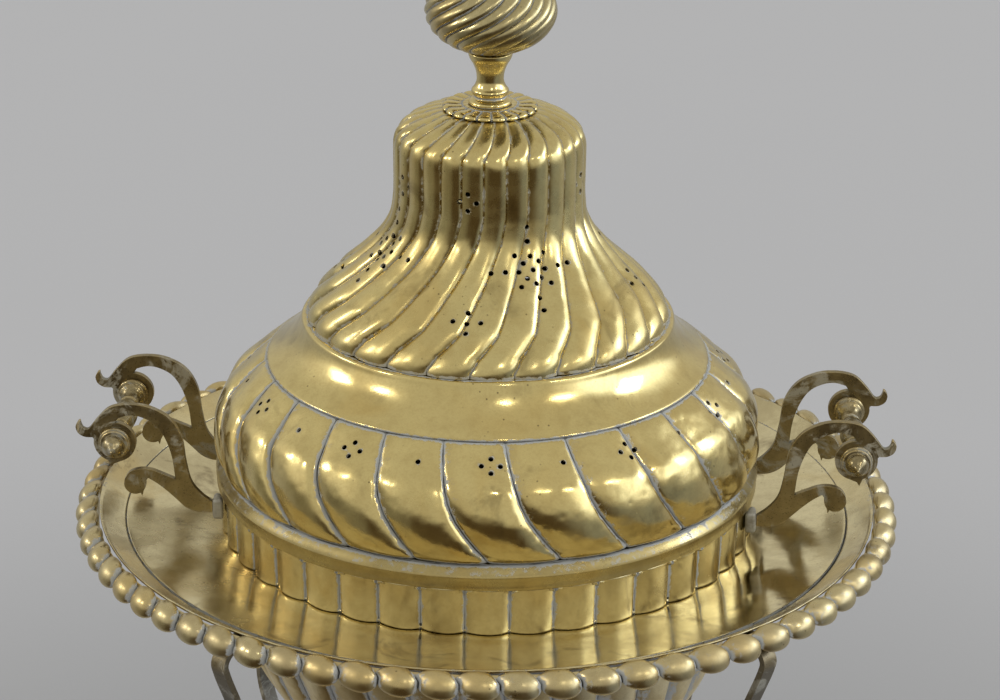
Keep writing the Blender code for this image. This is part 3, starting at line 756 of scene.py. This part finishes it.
def make_bead_rim():
    line = resample(smooth_line([
        (0.3058, 0.0106), (0.3080, 0.0122), (0.3125, 0.0130), (0.3178, 0.0116), (0.3220, 0.0082),
        (0.3244, 0.0036), (0.3246, -0.0012), (0.3226, -0.0048), (0.3185, -0.0066), (0.3130, -0.0060),
        (0.3085, -0.0040), (0.3062, -0.0020),
    ]), 0.0011)
    along = np.linspace(0, 1, len(line))[:, None]
    angles, across = lobe_angles(BEADS, 14, 1.2)
    inner = np.clip((0.10 - along) / 0.10, 0, 1)
    outer = np.clip((along - 0.80) / 0.20, 0, 1)
    rise = np.clip(1 - np.abs(across[None, :]) ** 2.0 - 0.7 * inner ** 2 - outer ** 2, 0, 1) ** 0.5
    deep = np.interp(along, [0, 0.03, 0.08, 0.20, 0.86, 1], [0.0030, 0.0062, 0.0080, 0.0092, 0.0092, 0])
    lean = 0.15 * deep * across[None, :] * rise
    dirt = seam(across, BEADS, line, 0.0033, 0.42) * ease_between(along, 0.0, 0.05)
    dirt = np.maximum(dirt, 0.30 * peak(along, 0.06, 0.07))
    skew = radians(0.8) * ease_between(along[:, 0], 0.0, 0.35)
    rim = lathe("tray_bead_rim", line, angles, -deep * (1 - rise) + lean, dirt, skew, wall=0)
    close_ring(rim, len(line), len(angles))
    finish_piece(rim, "stand", BEAD_METAL, "polished_brass", "tray_bead")


def make_stand_bowl():
    line = resample(smooth_line([
        (0.2030, -0.0127), (0.2050, -0.0160), (0.2062, -0.0350), (0.2040, -0.0620), (0.1970, -0.0900),
        (0.1870, -0.1170), (0.1760, -0.1370), (0.1640, -0.1560), (0.1450, -0.1790), (0.1180, -0.2020),
        (0.0850, -0.2210), (0.0500, -0.2350), (0.0360, -0.2395), (0.0360, -0.2395), (0.0075, -0.2400),
    ]), 0.0025)
    z = line[:, 1]
    angles, across = lobe_angles(BOWL_LOBES, 16, 2.0)
    deep = np.interp(z, [-0.238, -0.225, -0.18, -0.10, -0.03, -0.018],
                     [0, 0.0020, 0.0058, 0.0066, 0.0040, 0.0])
    push = lobed(deep, across, 2.1, 1.9, 0.2)
    turn = np.interp(z, [-0.24, -0.13, -0.02], np.radians([0, 5, 0]))
    dirt = seam(across, BOWL_LOBES, line, 0.0034, 0.8)
    bowl = lathe("stand_bowl_gadrooned", line, angles, push, dirt, turn, wall=0.002)
    finish_piece(bowl, "stand", BOWL_METAL, "amber_brass", "stand_bowl")


def make_stem():
    pieces = {
        "stem_upper": ([
            (0.0070, 0.1897), (0.0440, 0.1897), (0.0458, 0.1890), (0.0452, 0.1872), (0.0400, 0.1838),
            (0.0300, 0.1795), (0.0258, 0.1765), (0.0232, 0.1720), (0.0222, 0.1680), (0.0240, 0.1640),
            (0.0262, 0.1625), (0.0258, 0.1609), (0.0258, 0.1609), (0.0070, 0.1608),
        ], (0.1880, 0.1625)),
        "stem_lower": ([
            (0.0070, 0.1235), (0.0250, 0.1235), (0.0262, 0.1226), (0.0240, 0.1205), (0.0206, 0.1180),
            (0.0202, 0.1140), (0.0232, 0.1085), (0.0300, 0.1035), (0.0380, 0.1003), (0.0418, 0.0965),
            (0.0420, 0.0925), (0.0400, 0.0904), (0.0400, 0.0904), (0.0070, 0.0903),
        ], (0.1210, 0.0990)),
    }
    for name, (points, marks) in pieces.items():
        piece = turned(name + "_turned", points, base=0.0, grooves=[(z, 0.0012) for z in marks])
        finish_piece(piece, "stand", SMOOTH, "polished_brass", name)


def make_knob():
    ring = [radians(78 - 156 * i / 20) for i in range(21)]
    side = [(0.020 + 0.036 * cos(a), 0.1421 + 0.0180 * sin(a)) for a in ring]
    line = resample(smooth_line([(0.0072, 0.1603), *side, (0.0072, 0.1239)], 3), 0.0015)
    angles, across = lobe_angles(KNOB_LOBES, 12)
    deep = np.interp(line[:, 0], [0.024, 0.040, 0.056], [0.0, 0.0016, 0.0032])
    push, dirt = lobed(deep, across, 2, 1.9), seam(across, KNOB_LOBES, line, 0.0012)
    knob = lathe("stem_knob_gadrooned", line, angles, push, dirt, wall=0.002, base=0.0)
    finish_piece(knob, "stand", SMOOTH, "polished_brass", "stem_knob")


def make_foot():
    line = resample(smooth_line([
        (0.0075, 0.0900), (0.0370, 0.0900), (0.0395, 0.0890), (0.0405, 0.0850), (0.0430, 0.0790),
        (0.0500, 0.0715), (0.0620, 0.0650), (0.0850, 0.0575), (0.1050, 0.0530), (0.1250, 0.0475),
        (0.1450, 0.0400), (0.1600, 0.0330), (0.1740, 0.0275), (0.1840, 0.0245), (0.1900, 0.0230),
        (0.1945, 0.0200), (0.1955, 0.0160), (0.1955, 0.0104),
    ]), 0.0022)
    r = line[:, 0]
    angles, across = lobe_angles(BOWL_LOBES, 14, 2.0)
    deep = np.interp(r, [0.055, 0.070, 0.12, 0.160, 0.176, 0.184], [0, 0.0012, 0.0034, 0.0038, 0.0022, 0])
    push = lobed(deep, across, 2.1, 1.9)
    turn = np.interp(r, [0.06, 0.18], np.radians([-9, 0]))
    dirt = seam(across, BOWL_LOBES, line, 0.0016) * ((r > 0.06) & (r < 0.182))[:, None]
    foot = lathe("foot_dome_gadrooned", line, angles, push, dirt, turn, wall=0.002, base=0.0)
    finish_piece(foot, "stand", BOWL_METAL, "amber_brass", "foot_dome")


def leg_outline():
    """A flat bar that follows an S from the tab under the tray to the tab on the foot."""
    line = smooth_line([
        (0.252, -0.0101), (0.284, -0.0057), (0.302, -0.0078), (0.3115, -0.0160), (0.3095, -0.0280),
        (0.2960, -0.0600), (0.2800, -0.1000), (0.2720, -0.1450), (0.2780, -0.1950), (0.2920, -0.2400),
        (0.2950, -0.2720), (0.2800, -0.3050), (0.2520, -0.3300), (0.2310, -0.3580), (0.2260, -0.3900),
        (0.2230, -0.4070), (0.2160, -0.4145), (0.2090, -0.4168), (0.2000, -0.4168), (0.1975, -0.4168),
    ], 6)
    run = np.gradient(line, axis=0)
    run /= np.hypot(run[:, 0], run[:, 1])[:, None]
    side = np.stack([-run[:, 1], run[:, 0]], 1) * 0.0025
    return [tuple(p) for p in [*(line + side), *(line - side)[::-1]]]


def make_legs():
    for number, angle in enumerate(LEG_ANGLES, 1):
        turn = Matrix.Rotation(radians(angle), 4, "Z")
        leg = plate(f"leg_bar_{number}", leg_outline(), BAR_HALF, (0, 0, TRAY), 0.0009, turn)
        # The near-black leg material is painted shade from the tray above, as well as patina.
        finish_piece(leg, "stand", LEG_METAL, "dark_patina", f"leg_{number}")


def dress_plain_nodes():
    """The hidden and fastening solids keep their shape and take a worn material."""
    kinds = {"fire_bowl": SOOT, "foot_ring": SMOOTH, "leg_rivet": LEG_METAL}
    for name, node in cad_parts.items():
        if node.hide_render:
            continue
        finish = next((m for start, m in kinds.items() if name.startswith(start)), STEEL)
        node.data.materials.clear()
        node.data.materials.append(finish)
        node.data.shade_smooth()
        node.data.set_sharp_from_angle(angle=radians(35))


# ---- room, light and camera --------------------------------------------------------------------------

def make_room():
    """A pale floor, darkened round the brazier by painted shade, and a room of soft light: dim below, bright
    above, a brighter patch on each side.
    """
    floor = mesh_object("floor", [(-30, -30, 0), (30, -30, 0), (30, 30, 0), (-30, 30, 0)], [(0, 1, 2, 3)])
    net = Net("floor_paper")
    tone = net.spread(net.noise(0.8, 3), 0.3, 0.7, 0.0, 0.25)
    colour = net.blend(tone, (0.620, 0.630, 0.705), (0.592, 0.602, 0.676))
    reach = net.node("ShaderNodeVectorMath", _0=net.place)
    reach.operation = "LENGTH"
    # Painted shade: the floor turns darker towards the brazier, in place of its soft shadow.
    colour = net.blend(net.spread(reach.outputs["Value"], 1.3, 0.4, 0.0, 0.55), colour, (0.37, 0.38, 0.42))
    net.wire(Base_Color=colour, Roughness=0.9, Normal=net.bump(net.noise(260, 3), 0.0003, 0.4))
    floor.data.materials.append(net.material)
    floor.visible_glossy = False
    UNLIT.objects.link(floor)
    for member in UNLIT.collection_objects:
        member.light_linking.link_state = "EXCLUDE"

    world = bpy.data.worlds.new("room")
    bpy.context.scene.world = world
    world.use_nodes = True
    tree = world.node_tree
    back = tree.nodes["Background"]
    way = tree.nodes.new("ShaderNodeTexCoord")
    split = tree.nodes.new("ShaderNodeSeparateXYZ")
    tree.links.new(way.outputs["Generated"], split.inputs[0])

    def ranged(value, low, high):
        made = tree.nodes.new("ShaderNodeMapRange")
        made.interpolation_type = "SMOOTHSTEP"
        tree.links.new(value, made.inputs["Value"])
        made.inputs["From Min"].default_value, made.inputs["From Max"].default_value = low, high
        return made.outputs["Result"]

    def mixed(factor, a, b):
        made = tree.nodes.new("ShaderNodeMix")
        made.data_type = "RGBA"
        tree.links.new(factor, made.inputs[0])
        for socket, value in ((made.inputs[6], a), (made.inputs[7], b)):
            if isinstance(value, tuple):
                socket.default_value = (*value, 1.0)
            else:
                tree.links.new(value, socket)
        return made.outputs[2]

    def both(a, b):
        made = tree.nodes.new("ShaderNodeMath")
        made.operation = "MULTIPLY"
        tree.links.new(a, made.inputs[0])
        tree.links.new(b, made.inputs[1])
        return made.outputs[0]

    east, north, up = (split.outputs[axis] for axis in "XYZ")
    low = mixed(ranged(east, -0.45, -0.85), (0.080, 0.058, 0.032), (0.22, 0.21, 0.17))
    low = mixed(ranged(east, 0.35, 0.80), low, (0.27, 0.29, 0.31))
    low = mixed(ranged(north, -0.25, 0.30), low, (0.40, 0.40, 0.39))
    sky = mixed(ranged(up, -0.08, 0.22), low, (0.62, 0.60, 0.52))
    level = both(ranged(up, 0.10, 0.26), ranged(up, 0.68, 0.50))
    sky = mixed(both(level, ranged(east, 0.62, 0.88)), sky, (2.1, 2.25, 2.4))
    sky = mixed(both(level, ranged(east, -0.66, -0.90)), sky, (0.88, 0.85, 0.76))
    tree.links.new(sky, back.inputs["Color"])
    back.inputs["Strength"].default_value = 1.0


def area_light(name, way, distance, size, power, colour):
    """A soft rectangle that faces the brazier from a direction."""
    data = bpy.data.lights.new(name, "AREA")
    data.shape, data.size, data.size_y = "RECTANGLE", *size
    data.energy, data.color = power, colour
    light = linked(name, data)
    way = Vector(way).normalized()
    light.light_linking.receiver_collection = UNLIT
    light.location = Vector((0, 0, TRAY + 0.1)) + way * distance
    light.rotation_euler = (-way).to_track_quat("-Z", "Y").to_euler()


def make_lights():
    area_light("window_right", (0.87, 0.08, 0.45), 2.6, (0.65, 0.7), 9, (0.88, 0.95, 1.0))
    area_light("window_left", (-0.92, 0.02, 0.39), 2.8, (0.35, 0.45), 7, (1.0, 0.97, 0.88))
    area_light("pane_front_left", (-0.77, -0.35, 0.52), 2.8, (0.20, 0.26), 5, (1.0, 0.96, 0.82))
    area_light("pane_front", (0.18, -0.73, 0.65), 3.0, (0.20, 0.16), 3, (1.0, 0.96, 0.80))
    area_light("pane_front_right", (0.63, -0.52, 0.58), 3.0, (0.26, 0.20), 5, (1.0, 0.96, 0.80))


def make_camera():
    data = bpy.data.cameras.new("camera")
    data.lens, data.sensor_width = 117.8, 36.0
    data.clip_end = 100
    camera = linked("camera", data)
    turn = Matrix.Rotation(radians(VIEW_TURN), 3, "Z")
    camera.location = turn @ Vector((0, -2.368, TRAY + 1.097))
    look = turn @ Vector((0.0095, 0, TRAY + 0.132)) - camera.location
    roll = Matrix.Rotation(radians(0.6), 3, "Z")
    camera.rotation_euler = (look.to_track_quat("-Z", "Y").to_matrix() @ roll).to_euler()
    bpy.context.scene.camera = camera
    bpy.context.scene.view_settings.view_transform = "Standard"


make_bell()
make_gadroon_ring()
make_plain_rings()
make_rosette()
make_finial()
make_pan_wall()
make_handles()
make_tray()
make_bead_rim()
make_stand_bowl()
make_stem()
make_knob()
make_foot()
make_legs()
dress_plain_nodes()
make_room()
make_lights()
make_camera()
